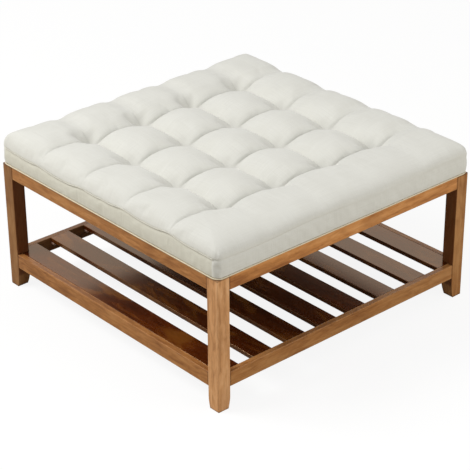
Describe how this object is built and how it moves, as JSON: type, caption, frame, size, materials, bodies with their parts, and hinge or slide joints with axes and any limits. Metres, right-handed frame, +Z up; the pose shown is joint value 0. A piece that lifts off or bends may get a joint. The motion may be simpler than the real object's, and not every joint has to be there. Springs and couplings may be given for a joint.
{
  "type": "ottoman coffee table",
  "caption": "Square ottoman coffee table: deep-tufted ivory cushion on a walnut-stained wood frame with a slatted lower shelf.",
  "frame": {"origin": "centre of the square footprint, on the floor", "axes": "+Z up; the front is -Y; the shelf's slats run along Y and follow each other along X"},
  "size_m": [0.9, 0.9, 0.48],
  "materials": {
    "stained_wood": "walnut-stained hardwood, satin lacquer",
    "peg_wood": "plain hardwood",
    "pale_wood": "unfinished softwood",
    "plywood": "unfinished plywood",
    "steel": "zinc plated",
    "foam": "upholstery foam",
    "cover_fabric": "ivory linen-look weave, quilted to wadding",
    "welt_fabric": "cream piping",
    "dust_cloth": "black spun cloth",
    "twine": "waxed twine"
  },
  "bodies": {
    "root": {"apron_back": "stained_wood", "apron_front": "stained_wood", "apron_left": "stained_wood", "apron_right": "stained_wood", "bottom_welt": "welt_fabric", "cleat_screws": "steel", "cover_hem": "cover_fabric", "cushion_cover": "cover_fabric", "dust_cover": "dust_cloth", "foam_pad": "foam", "frame_dowels": "peg_wood", "leg_back_left": "stained_wood", "leg_back_right": "stained_wood", "leg_front_left": "stained_wood", "leg_front_right": "stained_wood", "seat_board": "plywood", "seat_cleat_back": "pale_wood", "seat_cleat_front": "pale_wood", "seat_cleat_left": "pale_wood", "seat_cleat_right": "pale_wood", "seat_screws": "steel", "shelf_rail_back": "stained_wood", "shelf_rail_front": "stained_wood", "shelf_rail_left": "stained_wood", "shelf_rail_right": "stained_wood", "shelf_slat_1": "stained_wood", "shelf_slat_2": "stained_wood", "shelf_slat_3": "stained_wood", "shelf_slat_4": "stained_wood", "shelf_slat_5": "stained_wood", "shelf_slat_6": "stained_wood", "shelf_slat_7": "stained_wood", "shelf_slat_8": "stained_wood", "side_band_left": "cover_fabric", "side_band_right": "cover_fabric", "slat_pegs": "peg_wood", "staples": "steel", "tuft_ties": "twine"}
  },
  "joints": []
}
